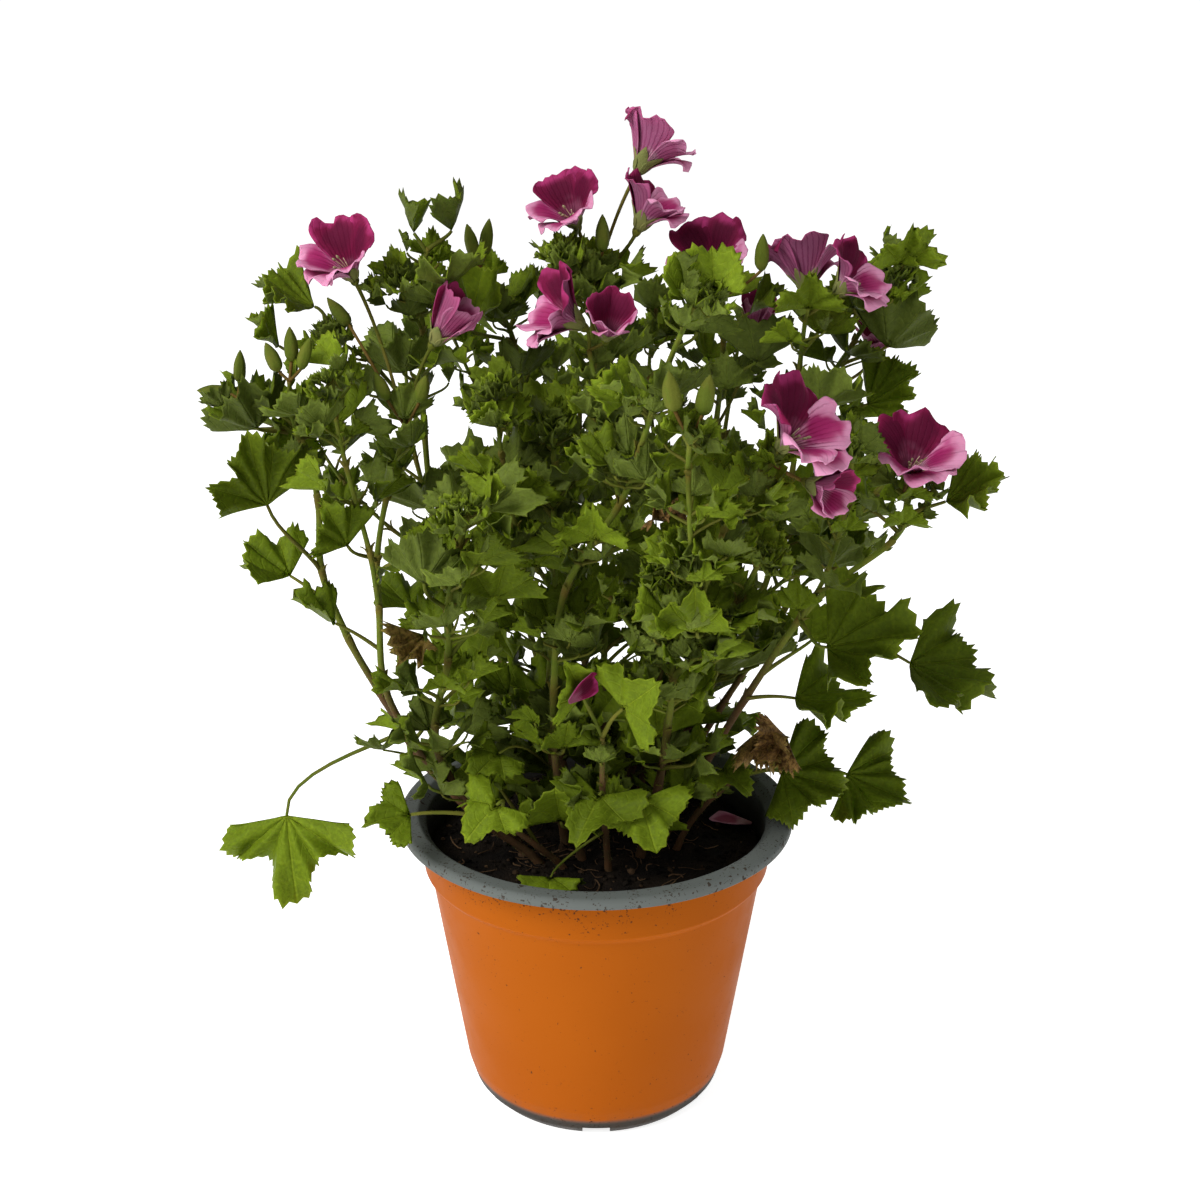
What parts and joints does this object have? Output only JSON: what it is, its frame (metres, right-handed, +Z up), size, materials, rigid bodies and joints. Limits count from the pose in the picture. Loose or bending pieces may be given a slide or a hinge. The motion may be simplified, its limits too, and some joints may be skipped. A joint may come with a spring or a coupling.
{
  "type": "potted flowering pelargonium",
  "caption": "Bushy angel-type pelargonium with small crisped leaves and two-tone pink flowers, growing in an orange thermoformed nursery pot with a grey rim.",
  "frame": {"origin": "centre of the flat underside of the pot, on the surface that it stands on", "axes": "+Z up along the pot axis, -Y towards the side that the picture shows, +X to its right"},
  "size_m": [0.2577, 0.2084, 0.3217],
  "materials": {
    "pot_plastic": "slightly worn thermoformed plastic, orange outside and grey on the rim and inside",
    "peat": "moist dark peat with crumbs and fibres, matt",
    "foliage": "living leaves and hairy stems with a soft sheen, paler underneath, brown near the soil",
    "dark_petal": "velvety burgundy petals with a pink edge",
    "pink_petal": "silky pink petals with a paler throat and darker veins"
  },
  "bodies": {
    "root": {"pot": "pot_plastic", "soil": "peat", "stem_left_outer": "foliage", "stem_left_dark": "foliage", "stem_left_front": "foliage", "stem_left_back": "foliage", "stem_middle_back_left": "foliage", "stem_centre_left": "foliage", "stem_centre_diagonal": "foliage", "stem_centre_back": "foliage", "stem_back_centre": "foliage", "stem_front_right": "foliage", "stem_right_dark": "foliage", "stem_right_middle": "foliage", "stem_right_back": "foliage", "stem_far_left": "foliage", "stem_far_middle": "foliage", "stem_far_right": "foliage", "stem_low_left": "foliage", "stem_low_front": "foliage", "stem_low_right": "foliage", "stem_low_back": "foliage", "bloom_far_left_dark": "dark_petal", "bloom_far_left_pink": "pink_petal", "bloom_top_left_dark": "dark_petal", "bloom_top_left_pink": "pink_petal", "bloom_top_middle_dark": "dark_petal", "bloom_top_middle_pink": "pink_petal", "bloom_topmost_dark": "dark_petal", "bloom_topmost_pink": "pink_petal", "bloom_back_middle_dark": "dark_petal", "bloom_back_middle_pink": "pink_petal", "bloom_back_right_dark": "dark_petal", "bloom_back_right_pink": "pink_petal", "bloom_right_upper_dark": "dark_petal", "bloom_right_upper_pink": "pink_petal", "bloom_centre_dark": "dark_petal", "bloom_centre_pink": "pink_petal", "bloom_front_dark": "dark_petal", "bloom_front_pink": "pink_petal", "bloom_right_dark": "dark_petal", "bloom_right_pink": "pink_petal", "bloom_half_open_left": "pink_petal", "bloom_closing_centre": "pink_petal", "bloom_front_low": "pink_petal", "bloom_small_back": "pink_petal", "bloom_small_middle": "pink_petal", "fallen_petal_pink": "pink_petal", "fallen_petal_dark": "dark_petal"}
  },
  "joints": []
}
